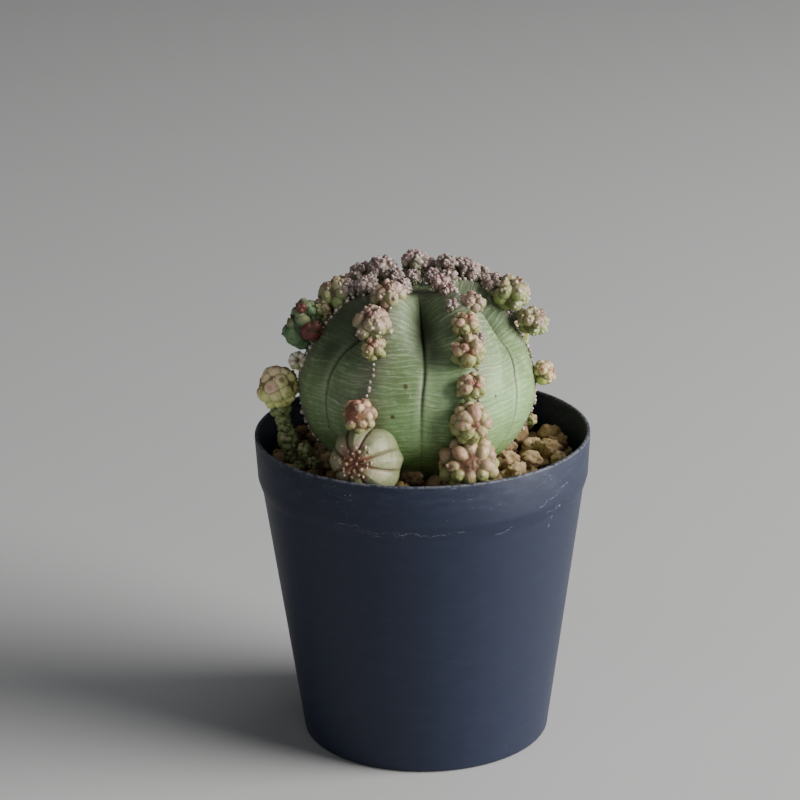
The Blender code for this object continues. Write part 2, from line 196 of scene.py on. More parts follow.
GREEN_COLOURS = (
    (0.17, 0.25, 0.12), (0.22, 0.23, 0.11), (0.105, 0.185, 0.085), (0.42, 0.4, 0.26),
    (0.03, 0.04, 0.018), (0.125, 0.028, 0.026),
)
BRANCH_COLOURS = (
    (0.34, 0.36, 0.17), (0.36, 0.34, 0.17), (0.22, 0.29, 0.11), (0.6, 0.55, 0.38),
    (0.05, 0.05, 0.022), (0.22, 0.17, 0.08),
)

# Azimuths of the furrows of the ribbed offset about its growing point, in degrees from the right
MELON_FURROWS = (-10, 27, 80, 122, 161, 208, 252, 296)

# Further lumps of the green offset: x, y, z from its middle, radius in mm and kind
GREEN_LUMPS = (
    (0.8, 0.0, 4.0, 3.1, "lumpy"),
    (1.4, 0.0, -2.4, 2.7, "lumpy"),
    (2.3, -3.2, 0.6, 2.6, "red_lump"),
    (0.0, -2.2, 5.4, 1.4, "red_lump"),
)
LUMP_RED = 1.2

# Small clusters that fill up each rib: latitude, degrees to the right of its crest and radius in mm
CREST_BUDS = {
    "front_left": ((77, -10, 2.6),),
    "front_right": ((40, -1, 1.9),),
    "right": ((64, 10, 2.4), (74, 4, 2.0), (39, 6, 2.2)),
    "back_right": ((78, 0, 2.1), (48, -3, 2.2), (34, 0, 2.0)),
    "back": ((80, 4, 2.1), (61, -8, 2.3), (48, 0, 2.0), (32, 0, 1.8), (14, 0, 1.3)),
    "back_left": ((77, -4, 2.4), (51, 2, 2.2), (35, 1, 2.0), (16, 0, 1.4)),
    "left": ((68, 0, 2.7), (60, -8, 2.6), (36, -7, 2.0)),
}
SCAR_LATITUDES = (-40.0, 80)
SCAR_RADII = (0.16, 0.56)  # mm

# Side branch: its parts, and the knobs at its foot as x, y, z and radius in mm
BRANCH_PARTS = 6
BRANCH_KNOBS = ((-26.2, -8.0, 69.5, 1.9), (-24.4, -9.5, 67.0, 1.7), (-27.6, -9.0, 66.0, 1.6))

# How finely balls are cut up, from coarse to fine
SCAR, SMALL_GRAIN, GRAIN, SMALL_BUD, BUD, MELON = 3, 3, 4, 5, 6, 7
LARGE_BUD = 2.05  # mm, the radius past which a crest bud is fine

# Where the random draws start for what isn't an offset
SOIL_SEED = 11
CREST_SEED = 100
BRANCH_SEED = 300
KNOB_SEED = 320

# Pot
POT_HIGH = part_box("pot")[1]
POT_HEIGHT = POT_HIGH.z
RIM_RADIUS = POT_HIGH.x
BAND_HEIGHT = 9.5 * MM
BAND_TAPER = 0.5 * MM
STEP_HEIGHT = 3.5 * MM
STEP_INSET = 1.05 * MM
BASE_RADIUS = 27.9 * MM
POT_WALL = 0.9 * MM
FOOT_HEIGHT = 1.6 * MM
FOOT_WIDTH = 2.1 * MM
FLOOR_THICKNESS = 1.0 * MM
POT_CORNER = 1.1 * MM
DRAIN_RADIUS = 2.1 * MM
DRAIN_RING = 14.0 * MM
DRAIN_COUNT = 6  # round the one in the middle
POT_SEGMENTS = 192
POT_SHARP = 40  # degrees past which an edge stays sharp

# Scratches: where each starts and ends (azimuth in degrees, height in mm) and its half width in mm
WALL_PER_DEGREE = 0.62  # mm
WORN_EDGE = 1.0095  # mm below the rim, where the wear is strongest
SCRATCHES = (
    ((42, 62.4), (58, 65.6), 0.16),
    ((46, 60.0), (60, 61.8), 0.12),
    ((49, 56.2), (52, 62.0), 0.14),
    ((52, 61.0), (48, 58.6), 0.12),
    ((24, 58.3), (32, 59.4), 0.14),
    ((-32, 61.5), (-6, 59.6), 0.12),
    ((-10, 60.4), (14, 60.0), 0.14),
    ((-24, 60.2), (-14, 58.9), 0.12),
    ((-118, 60.0), (-96, 61.5), 0.13),
    ((138, 59.0), (160, 60.8), 0.14),
)

# Soil
SOIL_LEVEL = POT_HEIGHT - 7.1 * MM
BED_TOP = SOIL_LEVEL - 2.6 * MM
HEAP = 1.3 * MM  # how much higher the grains lie beside the stem

# Camera
CAMERA_PLACE = (-4.9 * MM, -666.8 * MM, 305.3 * MM)
CAMERA_TILT = 18.8  # degrees below level
CAMERA_ROLL = -0.9
LENS = 142.3

# Lights: name, place, size, power and colour, all aimed at the plant
AIM = (0, 0, 0.07)
LIGHTS = (
    ("window_light", (1.18, -0.34, 0.44), 1.1, 57.0, (1.0, 0.985, 0.96)),
    ("top_light", (0.3, 0.1, 1.2), 0.8, 2.0, (0.95, 0.97, 1.0)),
    ("left_fill", (-1.1, -0.9, 0.45), 1.0, 3.0, (0.95, 0.97, 1.0)),
    ("front_fill", (0.25, -1.5, 0.35), 1.0, 2.2, (1.0, 0.99, 0.97)),
)
WORLD_COLOUR = (0.72, 0.74, 0.78, 1)
WORLD_STRENGTH = 0.09


# Meshes


def deselect_all():
    for obj in bpy.context.selected_objects:
        obj.select_set(False)


def select(obj):
    """Makes this the one object that an operator works on."""
    deselect_all()
    obj.select_set(True)
    bpy.context.view_layer.objects.active = obj


def take_shape(name):
    """Names the primitive that was just added."""
    obj = bpy.context.object
    obj.name = name
    obj.data.name = name
    return obj


def ball(name, fineness):
    """A ball of radius 1 made of even triangles."""
    deselect_all()
    bpy.ops.mesh.primitive_ico_sphere_add(subdivisions=fineness, radius=1.0)
    return take_shape(name)


def points_of(obj):
    points = np.empty(len(obj.data.vertices) * 3, np.float32)
    obj.data.vertices.foreach_get("co", points)
    return points.reshape(-1, 3).astype(float)


def ways_of(obj):
    """The direction of each point of a ball from its middle, of length 1."""
    ways = points_of(obj)
    return ways / np.linalg.norm(ways, axis=1)[:, None]


def any_way(draw):
    """A random direction."""
    way = np.array([draw.gauss(0, 1) for _ in range(3)])
    return way / np.linalg.norm(way)


def move_points(obj, points):
    obj.data.vertices.foreach_set("co", np.asarray(points, np.float32).ravel())
    obj.data.update()


def store(obj, name, values):
    """Keeps a number for each point of the surface, for a material to read."""
    attribute = obj.data.attributes.new(name, "FLOAT", "POINT")
    attribute.data.foreach_set("value", np.asarray(values, np.float32))


def smoothstep(low, high, values):
    share = np.clip((values - low) / (high - low), 0, 1)
    return share * share * (3 - 2 * share)


def join(name, pieces):
    deselect_all()
    for piece in pieces:
        piece.select_set(True)
    bpy.context.view_layer.objects.active = pieces[0]
    bpy.ops.object.join()
    return take_shape(name)


def finish_piece(obj, material, slot, *nodes, sharp=None):
    """Shades a piece, gives it its finish and puts it on the body in place of its CAD nodes."""
    select(obj)
    if sharp is None:
        bpy.ops.object.shade_smooth()
    else:
        bpy.ops.object.shade_smooth_by_angle(angle=radians(sharp))
    obj.data.materials.clear()
    obj.data.materials.append(material)
    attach(obj, "root")
    if nodes:
        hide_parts(*nodes)
    return obj


# Materials


class Value:
    """A shader socket that takes part in sums: an expression on values adds its Math nodes."""

    def __init__(self, look, socket):
        self.look = look
        self.socket = socket

    def __add__(self, other):
        return self.look.sum("ADD", self, other)

    def __radd__(self, other):
        return self.look.sum("ADD", other, self)

    def __sub__(self, other):
        return self.look.sum("SUBTRACT", self, other)

    def __rsub__(self, other):
        return self.look.sum("SUBTRACT", other, self)

    def __mul__(self, other):
        return self.look.sum("MULTIPLY", self, other)

    def __rmul__(self, other):
        return self.look.sum("MULTIPLY", other, self)

    def __truediv__(self, other):
        return self.look.sum("DIVIDE", self, other)

    def step(self, low, high):
        """0 below low, 1 above high and smooth between them."""
        settings = {"interpolation_type": "SMOOTHSTEP"}
        inputs = {"Value": self, "From Min": low, "From Max": high}
        return self.look.out(self.look.node("ShaderNodeMapRange", settings, inputs), "Result")


class Look:
    """One material, built up node by node."""

    def __init__(self, name, roughness=0.5, **fixed):
        self.material = bpy.data.materials.new(name)
        self.material.use_nodes = True
        self.tree = self.material.node_tree
        self.shader = self.tree.nodes["Principled BSDF"]
        self.here = self.place()
        self.set("Roughness", roughness)
        for socket, value in fixed.items():
            self.shader.inputs[socket.replace("_", " ")].default_value = value

    def node(self, kind, settings=None, inputs=None):
        """Adds a node: its settings first, then a value or a link for each of its sockets."""
        node = self.tree.nodes.new(kind)
        for name, value in (settings or {}).items():
            setattr(node, name, value)
        for name, value in (inputs or {}).items():
            if isinstance(value, Value):
                self.tree.links.new(value.socket, node.inputs[name])
            else:
                node.inputs[name].default_value = value
        return node

    def out(self, node, name):
        return Value(self, node.outputs[name])

    def sum(self, operation, first, second):
        node = self.node("ShaderNodeMath", {"operation": operation}, {0: first, 1: second})
        return self.out(node, 0)

    def place(self, stretch=(1, 1, 1)):
        """Object coordinates in millimetres, stretched along each axis."""
        where = self.node("ShaderNodeTexCoord")
        scale = tuple(side / MM for side in stretch)
        inputs = {"Vector": self.out(where, "Object"), "Scale": scale}
        return self.out(self.node("ShaderNodeMapping", None, inputs), "Vector")

    def join(self, x, y, z):
        """A place made of three numbers."""
        return self.out(self.node("ShaderNodeCombineXYZ", None, {0: x, 1: y, 2: z}), "Vector")

    def split(self, vector, axis):
        return self.out(self.node("ShaderNodeSeparateXYZ", None, {"Vector": vector}), axis)

    def noise(self, size, detail=2.0, rough=0.5, place=None):
        """Cloudy noise from about 0 to 1. Size is a feature's width in millimetres."""
        place = place or self.here
        inputs = {"Vector": place, "Scale": 1 / size, "Detail": detail, "Roughness": rough}
        return self.out(self.node("ShaderNodeTexNoise", None, inputs), "Fac")

    def cells(self, place, size):
        """How far it is to the nearest of some scattered points, as a share of their spacing."""
        inputs = {"Vector": place, "Scale": 1 / size}
        return self.out(self.node("ShaderNodeTexVoronoi", None, inputs), "Distance")

    def stored(self, name):
        """A number that the piece keeps for each point."""
        return self.out(self.node("ShaderNodeAttribute", {"attribute_name": name}), "Fac")

    def mix(self, share, first, second):
        node = self.node("ShaderNodeMix", {"data_type": "RGBA", "blend_type": "MIX"})
        for socket, value in (("Factor_Float", share), ("A_Color", first), ("B_Color", second)):
            target = next(s for s in node.inputs if s.identifier == socket)
            if isinstance(value, Value):
                self.tree.links.new(value.socket, target)
            else:
                target.default_value = value if socket == "Factor_Float" else (*value, 1.0)
        return Value(self, next(s for s in node.outputs if s.identifier == "Result_Color"))

    def paint(self, colour, *coats):
        """Lays colours over the first one, each by its share, and makes that the base colour."""
        for share, tint in coats:
            colour = self.mix(share, colour, tint)
        self.set("Base Color", colour)

    def set(self, socket, value):
        """Sets one of the shader's sockets to a number or links it."""
        if isinstance(value, Value):
            self.tree.links.new(value.socket, self.shader.inputs[socket])
        else:
            self.shader.inputs[socket].default_value = value

    def scratch(self, place, start, end, width):
        """1 along a straight scratch between two places on a wall, as azimuth and height."""
        (start_turn, start_z), (end_turn, end_z) = start, end
        length_turn = (end_turn - start_turn) * WALL_PER_DEGREE
        length_z = end_z - start_z
        length = hypot(length_turn, length_z)
        out = self.sum("MULTIPLY", self.split(place, "Y"), -1.0)
        turn = self.sum("ARCTAN2", self.split(place, "X"), out) * degrees(1.0)
        x = (turn - start_turn) * WALL_PER_DEGREE
        z = self.split(place, "Z") - start_z
        along = (x * length_turn + z * length_z) / length
        aside = self.sum("ABSOLUTE", (x * length_z - z * length_turn) / length, 0.0)
        inside = along.step(0.0, 0.6) * along.step(length, length - 0.6)
        return inside * aside.step(width, width * 0.4)

    def bump(self, height, depth):
        """Relief of so many millimetres between height 0 and 1."""
        inputs = {"Height": height, "Distance": depth * MM, "Strength": 1.0}
        self.set("Normal", self.out(self.node("ShaderNodeBump", None, inputs), "Normal"))


# Pot


def pot_outline():
    """The pot's skin from the middle hole under its floor, up to the rim and down inside."""
    band_foot = RIM_RADIUS - BAND_TAPER
    step_z = POT_HEIGHT - BAND_HEIGHT - STEP_HEIGHT
    band_z = POT_HEIGHT - BAND_HEIGHT
    foot_inside = BASE_RADIUS - 0.8 * MM - FOOT_WIDTH
    floor = FOOT_HEIGHT + FLOOR_THICKNESS
    outside = [
        (DRAIN_RADIUS, FOOT_HEIGHT),
        (foot_inside - 0.5 * MM, FOOT_HEIGHT),
        (foot_inside, 0.1 * MM),
        (foot_inside + 0.15 * MM, 0.0),
        (BASE_RADIUS - POT_CORNER, 0.0),
    ]
    for step in range(1, 5):
        turn = radians(step * 90 / 4 - 90)
        outside.append(
            (BASE_RADIUS - POT_CORNER * (1 - cos(turn)), POT_CORNER * (1 + sin(turn)))
        )
    for inset, rise in ((1, 0), (0.88, 0.14), (0.68, 0.3), (0.32, 0.62), (0.1, 0.86), (0, 1)):
        outside.append((band_foot - STEP_INSET * inset, step_z + STEP_HEIGHT * rise))
    outside += [
        (band_foot + 0.02 * MM, band_z + 0.5 * MM),
        (RIM_RADIUS, POT_HEIGHT - 0.5 * MM),
        (RIM_RADIUS - 0.08 * MM, POT_HEIGHT - 0.15 * MM),
        (RIM_RADIUS - 0.3 * MM, POT_HEIGHT),
        (RIM_RADIUS - 0.65 * MM, POT_HEIGHT - 0.02 * MM),
        (RIM_RADIUS - POT_WALL, POT_HEIGHT - 0.3 * MM),
    ]
    inside = [
        (band_foot - POT_WALL, band_z),
        (band_foot - STEP_INSET - POT_WALL, step_z),
        (BASE_RADIUS - POT_WALL + 0.2 * MM, floor + POT_CORNER),
        (BASE_RADIUS - POT_WALL - 0.8 * MM, floor),
        (DRAIN_RADIUS, floor),
    ]
    return outside + inside


def make_pot():
    """Drawn out ring by ring from a circle of edges, then drilled."""
    outline = pot_outline()
    first_radius, first_height = outline[0]
    deselect_all()
    bpy.ops.mesh.primitive_circle_add(
        vertices=POT_SEGMENTS, radius=first_radius, location=(0, 0, first_height)
    )
    pot = take_shape("nursery_pot")
    bpy.ops.object.transform_apply(location=True, rotation=True, scale=True)
    bpy.ops.object.mode_set(mode="EDIT")
    for (radius, height), (new_radius, new_height) in zip(outline, outline[1:]):
        bpy.ops.mesh.extrude_region_move(
            TRANSFORM_OT_translate={"value": (0, 0, new_height - height)}
        )
        share = new_radius / radius
        bpy.ops.transform.resize(value=(share, share, 1), center_override=(0, 0, new_height))
    bpy.ops.mesh.select_all(action="DESELECT")
    bpy.ops.mesh.select_non_manifold(extend=False)
    bpy.ops.mesh.bridge_edge_loops()
    bpy.ops.mesh.select_all(action="SELECT")
    bpy.ops.mesh.normals_make_consistent(inside=False)
    bpy.ops.object.mode_set(mode="OBJECT")
    for i in range(DRAIN_COUNT):
        azimuth = (i + 0.5) * 2 * pi / DRAIN_COUNT
        drill(pot, DRAIN_RING * sin(azimuth), -DRAIN_RING * cos(azimuth))
    return pot


def drill(pot, x, y):
    deselect_all()
    bpy.ops.mesh.primitive_cylinder_add(
        vertices=24, radius=DRAIN_RADIUS, depth=5 * MM, location=(x, y, FOOT_HEIGHT)
    )
    cutter = take_shape("drain_cutter")
    hole = pot.modifiers.new("drain", "BOOLEAN")
    hole.operation = "DIFFERENCE"
    hole.object = cutter
    select(pot)
    bpy.ops.object.modifier_apply(modifier=hole.name)
    bpy.data.objects.remove(cutter)


def pot_plastic():
    """Dark slate-blue plastic, dusty and scuffed near the rim."""
    look = Look("slate_blue_plastic", 0.42, Specular_IOR_Level=0.3)
    height = look.split(look.here, "Z")
    top = POT_HEIGHT / MM
    worn_edge = top - WORN_EDGE
    on_band = height.step(worn_edge - 7, worn_edge - 1) * height.step(worn_edge + 5, worn_edge + 1)
    high = height.step(worn_edge - 9, worn_edge)
    cloud = look.noise(9.0, 3.0)
    patch = look.noise(2.4, 4.0, 0.65, place=look.place((0.45, 0.45, 1.4)))
    fine = look.noise(1.1, 4.0, 0.65)
    speck = look.noise(0.5, 2.0).step(0.7, 0.74)
    dust = speck * cloud.step(0.44, 0.62) * (0.15 + 0.85 * high)
    scuff = look.noise(1.5, 4.0, 0.65, place=look.place((0.3, 0.3, 2.2))).step(0.62, 0.74)
    scuff = scuff * (0.8 * on_band + 0.06) * cloud.step(0.4, 0.54)
    bend = look.noise(3.5, 3.0, 0.6)
    x, y = look.split(look.here, "X"), look.split(look.here, "Y")
    bent = look.join(x, y, height + (bend - 0.5) * 4.0)
    for scratch in SCRATCHES:
        mark = look.scratch(bent, *scratch) * fine.step(0.42, 0.62)
        scuff = look.sum("MAXIMUM", scuff, mark)
    haze = patch.step(0.38, 0.8) * (0.07 + 0.24 * high)
    worn = height.step(top - 0.55, top - 0.1) * fine.step(0.35, 0.6)
    look.paint(
        (0.0105, 0.015, 0.033),
        (haze, (0.055, 0.066, 0.108)),
        (scuff * 0.5, (0.22, 0.23, 0.28)),
        (dust * 0.6, (0.34, 0.34, 0.36)),
        (worn * 0.5, (0.2, 0.2, 0.22)),
    )
    look.set("Roughness", 0.42 + 0.12 * fine + 0.25 * scuff)
    look.bump(fine + dust * 0.4, 0.02)
    return look.material


# Stem


def rib_ends(rib):
    """The azimuths of the furrows on both sides of a rib, given by its number."""
    return FURROWS[rib], (*FURROWS[1:], FURROWS[0] + 360)[rib]


def rib_at(share):
    """The azimuth in degrees, the rib and the place across it (-1 to 1) at a share of a turn."""
    turns = (share % 1) * len(RIBS)
    rib = min(int(turns), len(RIBS) - 1)
    across = 2 * (turns - rib) - 1
    packed = copysign(1 - (1 - abs(across)) ** 1.35, across)  # closer near the furrows
    start, end = rib_ends(rib)
    return start + (end - start) * (packed + 1) / 2, rib, packed


def lean(rib, across, latitude):
    """How far the skin is turned at a latitude, in degrees."""
    share = (across + 1) / 2
    slant = LEANS[rib] * (1 - share) + LEANS[(rib + 1) % len(LEANS)] * share
    return slant * max(latitude - LEAN_START, 0.25 * (latitude - LEAN_START))


def shoulder(rib, latitude, across):
    """How much a rib stands up round the crown, in metres."""
    start, peak, end = SHOULDER_LATITUDES
    bump = float(smoothstep(start, peak, latitude) * smoothstep(end, peak, latitude))
    return SHOULDERS[rib] * MM * bump * (1 - across * across)


def stem_surface(azimuth, latitude, across, rib):
    """The smooth skin of the stem, in world space."""
    up = sin(radians(latitude))
    out = cos(radians(latitude))
    depth = FURROW_DEPTH + FURROW_DEEPER * float(smoothstep(*DEEPENING, latitude))
    depth -= FURROW_SHALLOWER * float(smoothstep(*SHALLOWING, latitude))
    if across < 0:
        slope = abs(across) ** 1.15
    else:
        slope = 0.35 * across**1.3 + 0.65 * across**3
    high = float(smoothstep(-40, 45, latitude))
    crease = exp(-(((1 - abs(across)) / CREASE_WIDTH) ** 2)) * (0.3 + 0.7 * high)
    depth = (depth * slope + CREASE_DEPTH * crease) * float(smoothstep(0.1, 0.46, out))
    dip = CROWN_DIP * max(0.0, (latitude - CROWN_EDGE) / (90 - CROWN_EDGE)) ** 2
    radius = STEM_RADIUS * out
    angle = radians(azimuth)
    x = STEM_X + radius * sin(angle)
    skin = Vector((x, -radius * cos(angle), STEM_Z + STEM_HALF_HEIGHT * up - dip))
    return skin + stem_normal(azimuth, latitude) * (shoulder(rib, latitude, across) - depth)


def stem_normal(azimuth, latitude):
    angle = radians(azimuth)
    out = cos(radians(latitude)) / STEM_RADIUS
    up = sin(radians(latitude)) / STEM_HALF_HEIGHT
    return Vector((out * sin(angle), -out * cos(angle), up)).normalized()


def mark_strength(azimuth, latitude, mark):
    """How much of a mark on the skin is at a place, from 1 in its middle down to 0."""
    mark_azimuth, mark_latitude, radius = mark
    degree = radians(1) * STEM_RADIUS
    turn = (azimuth - mark_azimuth + 180) % 360 - 180
    aside = turn * degree * cos(radians(latitude))
    along = (latitude - mark_latitude) * degree * 0.7
    return exp(-(aside * aside + along * along) / (radius * MM) ** 2)


def make_stem():
    """A ball whose points are moved out onto seven ribs, and what its skin is to know of each."""
    segments = STEM_SEGMENTS_PER_RIB * len(RIBS)
    deselect_all()
    bpy.ops.mesh.primitive_uv_sphere_add(segments=segments, ring_count=STEM_RINGS, radius=1.0)
    stem = take_shape("ribbed_stem")
    places = points_of(stem)
    moved = np.empty_like(places)
    marks = {name: np.zeros(len(places)) for name in ("latitude", "across", "roundabout", *MARKS)}
    for i, (x, y, z) in enumerate(places):
        share = atan2(x, -y) / (2 * pi) % 1
        share = round(share * segments) / segments
        latitude = degrees(asin(max(-1.0, min(1.0, z))))
        azimuth, rib, across = rib_at(share)
        turn = share * tau
        way = Vector((latitude / 28, 2 * sin(turn), 2 * cos(turn)))
        azimuth += WANDER * noise.noise(way) + lean(rib, across, latitude)
        point = stem_surface(azimuth, latitude, across, rib)
        lump = 0.3 * noise.noise(point / (9 * MM)) + 0.1 * noise.noise(point / (3 * MM))
        moved[i] = point + stem_normal(azimuth, latitude) * lump * MM
        marks["latitude"][i] = latitude
        marks["across"][i] = abs(across)
        marks["roundabout"][i] = 2 * rib + across
        for name, mark_list in MARKS.items():
            marks[name][i] = max(mark_strength(azimuth, latitude, mark) for mark in mark_list)
    move_points(stem, moved)
    for name, values in marks.items():
        store(stem, name, values)
    return stem


def stem_skin():
    """Grey-green waxy skin with pale cross lines on each rib and dark furrows, with painted shade
    on shaded flanks and in the deep valleys, and painted light on the lower skin and in a few lit
    patches.
    """
    look = Look("stem_skin", 0.46, Specular_IOR_Level=0.35)
    latitude = look.stored("latitude")
    across = look.stored("across")
    roundabout = look.stored("roundabout")
    cloud = look.noise(9.0, 3.0)
    patch = look.noise(3.2, 4.0, 0.6)
    fine = look.noise(0.45, 3.0, 0.65)
    low = 1 - latitude.step(-32, 18)
    high = latitude.step(12, 58)
    crest = 1 - across.step(0.0, 0.5)
    deep = latitude.step(-26, 16)

    arc = latitude * 0.4 - across * across * 0.9 + (cloud - 0.5) * 2.2
    wobble = look.noise(1.0, 1.5, 0.5, place=look.join(roundabout * 0.8, arc * 0.8, 0.0))
    wave = look.sum("SINE", arc * 5.0 + wobble * 12.0, 0.0)
    streaks = look.noise(0.34, 2.0, 0.6, place=look.join(roundabout * 1.8, arc, 5.0))
    flecks = look.noise(0.55, 2.0, 0.6, place=look.join(roundabout * 9.0, arc * 0.6, 9.0))
    pale_line = wave.step(0.45, 1.0) * (0.15 + 0.85 * patch.step(0.32, 0.62))
    thin_line = streaks.step(0.57, 0.66) * patch.step(0.3, 0.55)
    dark_line = wave.step(-0.3, -1.0) * wobble.step(0.65, 0.4)

    painted_shade = look.stored("painted_shade")
    outside_painted_shade = 1 - painted_shade * 0.85
    shade = look.noise(1.0, 3.0, 0.55, place=look.join(roundabout * 1.7, latitude * 0.014, 3.0))
    stain = look.stored("stain") * shade.step(0.7, 0.35)
    speck = look.cells(look.place((1, 1, 0.8)), 7.0).step(0.06, 0.035)
    furrow = across.step(0.952, 0.99) * (0.1 + 0.9 * deep)
    furrow = furrow * (0.35 + 0.65 * cloud.step(0.35, 0.6))
    edge = across.step(0.84, 0.93) * (1 - across.step(0.95, 0.985))
    look.paint(
        (0.122, 0.206, 0.067),
        (patch.step(0.35, 0.65), (0.166, 0.292, 0.104)),
        # Greener lower skin, the plant's own colour, made brighter as painted light on the lower
        # part of the stem
        (low * cloud.step(0.3, 0.6) * 0.8, (0.15, 0.275, 0.068)),
        (cloud.step(0.44, 0.6) * 0.35, (0.165, 0.18, 0.11)),
        (look.stored("weathered") * 0.45, (0.15, 0.152, 0.105)),
        # Painted light from the pale patches
        (look.stored("pale") * 0.6, (0.235, 0.395, 0.18)),
        (high * 0.75, (0.13, 0.16, 0.1)),
        (crest * (0.5 + 0.4 * high) * patch.step(0.28, 0.54), (0.18, 0.16, 0.124)),
        (shade.step(0.46, 0.64) * 0.4, (0.085, 0.11, 0.052)),
        (stain * 0.62, (0.08, 0.092, 0.042)),
        # Painted shade on the flanks that the ribs and offsets keep from the light
        (painted_shade * 0.88, (0.036, 0.045, 0.024)),
        (dark_line * 0.3, (0.08, 0.115, 0.035)),
        # The pale lines and flecks fade out in the painted shade
        (pale_line * outside_painted_shade * 0.36, (0.36, 0.46, 0.27)),
        (thin_line * outside_painted_shade * 0.32, (0.44, 0.52, 0.36)),
        (flecks.step(0.6, 0.75) * outside_painted_shade * 0.22, (0.4, 0.45, 0.3)),
        (fine.step(0.5, 0.8) * 0.35, (0.09, 0.12, 0.05)),
        (speck * 0.85, (0.06, 0.04, 0.018)),
        (edge * 0.22 * deep, (0.34, 0.39, 0.25)),
        # Painted shade in the deep valleys beside the furrows, high on the stem
        (across.step(0.5, 0.97) * high * 0.6, (0.058, 0.072, 0.038)),
        (furrow * 0.8, (0.034, 0.044, 0.018)),
        (look.stored("spot").step(0.3, 0.6) * 0.85, (0.055, 0.03, 0.014)),
    )
    look.set("Roughness", 0.44 + 0.14 * patch)
    look.bump(wave * 0.25 + 0.5 * streaks + fine, 0.07)
    return look.material


# Offsets


class Blob:
    """One lobe of an offset: a squashed ball whose axes are the columns of a turn matrix."""

    def __init__(self, centre, sizes, turn=None, tone=0.5, red=0.0, spot=0.0, bead=0.0):
        self.centre = np.array(centre, float)
        self.sizes = np.array(sizes, float)
        self.turn = np.eye(3) if turn is None else turn
        self.tone = tone
        self.red = red
        self.spot = spot
        self.bead = bead

    def reach(self, ways):
        """How far out the blob lies along each direction from the middle, or 0 where it isn't."""
        shrink = (self.turn / self.sizes).T
        ends = ways @ shrink.T
        middle = shrink @ self.centre
        a = (ends**2).sum(1)
        b = -2 * ends @ middle
        c = middle @ middle - 1
        inside = b * b - 4 * a * c
        far = (-b + np.sqrt(np.maximum(inside, 0))) / (2 * a)
        return np.where((inside > 0) & (far > 0), far, 0.0)

    def height(self, points):
        """How near each point is to the blob's outer end: 1 on it and 0 at its equator."""
        return (points - self.centre) @ self.turn[:, 2] / self.sizes[2]


def polar(away, around):
    """The direction at an angle from the growth axis and an angle about it, both in radians."""
    return np.array(
        [sin(away) * cos(around), sin(away) * sin(around), cos(away)]
    )


def lobe_turn(away, around):
    """Columns: across the lobe, along its meridian, and outwards."""
    outward = polar(away, around)
    along = polar(away + pi / 2, around)
    return np.stack([np.cross(along, outward), along, outward], 1)


def lobe(draw, away, around, size, width=1.0, length=1.35, reach=1.0, red=0.0, spot=0.35):
    """A bean standing on the middle, its outer end at the given reach."""
    size *= draw.uniform(0.86, 1.14)
    reach *= draw.uniform(0.95, 1.06)
    wide = size * width * draw.uniform(0.9, 1.1)
    long = size * length * draw.uniform(0.88, 1.12)
    sizes = (wide, long, size * 1.15)
    centre = polar(away, around) * (reach - sizes[2])
    has_spot = draw.uniform(0.5, 1.0) if draw.random() < spot else 0.0
    return Blob(centre, sizes, lobe_turn(away, around), draw.random(), red, has_spot)


def heart_buds(draw, count, reach=0.8, size=0.1):
    """The dark red cluster at the growing point."""
    return [
        Blob(
            polar(radians(3 + 17 * sqrt(i)), GOLDEN_TURN * i) * (reach - size),
            (size * draw.uniform(0.75, 1.2),) * 3,
            tone=0.6,
            red=1.0,
        )
        for i in range(count)
    ]


def tiny_beads(draw, blobs, each, bead):
    """Small pale buds on the outer ends of the larger lobes."""
    added = []
    for blob in blobs:
        for _ in range(each):
            way = blob.turn[:, 2] * 1.1 + any_way(draw)
            way /= np.linalg.norm(way)
            size = bead * draw.uniform(0.65, 1.3)
            edge = 1 / sqrt((((blob.turn.T @ way) / blob.sizes) ** 2).sum())
            centre = blob.centre + way * edge * 0.98
            added.append(Blob(centre, (size,) * 3, tone=draw.random(), bead=1.0))
    return added


def rosette(draw, rings):
    """Beans in rings round a red heart. Each ring has a count, an angle, a width and a length."""
    lobes = []
    for row, (count, angle, width, length) in enumerate(rings):
        for i in range(count):
            around = 2 * pi * (i + row / 2 + draw.uniform(-0.18, 0.18)) / count
            away = radians(angle + draw.uniform(-6, 6))
            lobes.append(lobe(draw, away, around, width, 1.0, length / width, spot=0.25))
    few = [blob for blob in lobes if draw.random() < 0.4]
    return lobes + heart_buds(draw, 7) + tiny_beads(draw, few, 1, 0.06)


def cluster(draw, lobes=16, size=0.33, beads=1, bead=0.075, spread=125, spot=0.45, length=1.2):
    """Uneven lobes packed over the outer side, the first ones red."""
    packed = []
    for i in range(lobes):
        share = (i + 0.6) / lobes
        away = acos(1 - share * (1 - cos(radians(spread))))
        around = GOLDEN_TURN * i + draw.uniform(-0.3, 0.3)
        inner = i < 2
        scale = 0.72 if inner else draw.choice((0.85, 1.0, 1.0, 1.12))
        reach = 0.9 if inner else 1.0
        red = 0.3 if inner else 0.0
        packed.append(lobe(draw, away, around, size * scale, 1.0, length, reach, red, spot))
    return packed + heart_buds(draw, 4, 0.86, 0.08) + tiny_beads(draw, packed, beads, bead)


def flushed(blobs):
    """The same blobs, those on the lower left side red."""
    for blob in blobs:
        side = blob.centre[0] - 0.5 * blob.centre[1]
        blob.red = max(blob.red, float(smoothstep(0.1, -0.5, side)) * 0.6)
    return blobs


def ring_of_lobes(draw, count=7):
    """A spent bud: pale lobes round an open middle."""
    lobes = []
    for i in range(count):
        around = 2 * pi * (i + draw.uniform(-0.1, 0.1)) / count
        lobes.append(lobe(draw, radians(56), around, 0.34, 0.9, 1.1, spot=0.0))
    for i in range(count):
        lobes.append(lobe(draw, radians(108), 2 * pi * (i + 0.5) / count, 0.36))
    return lobes


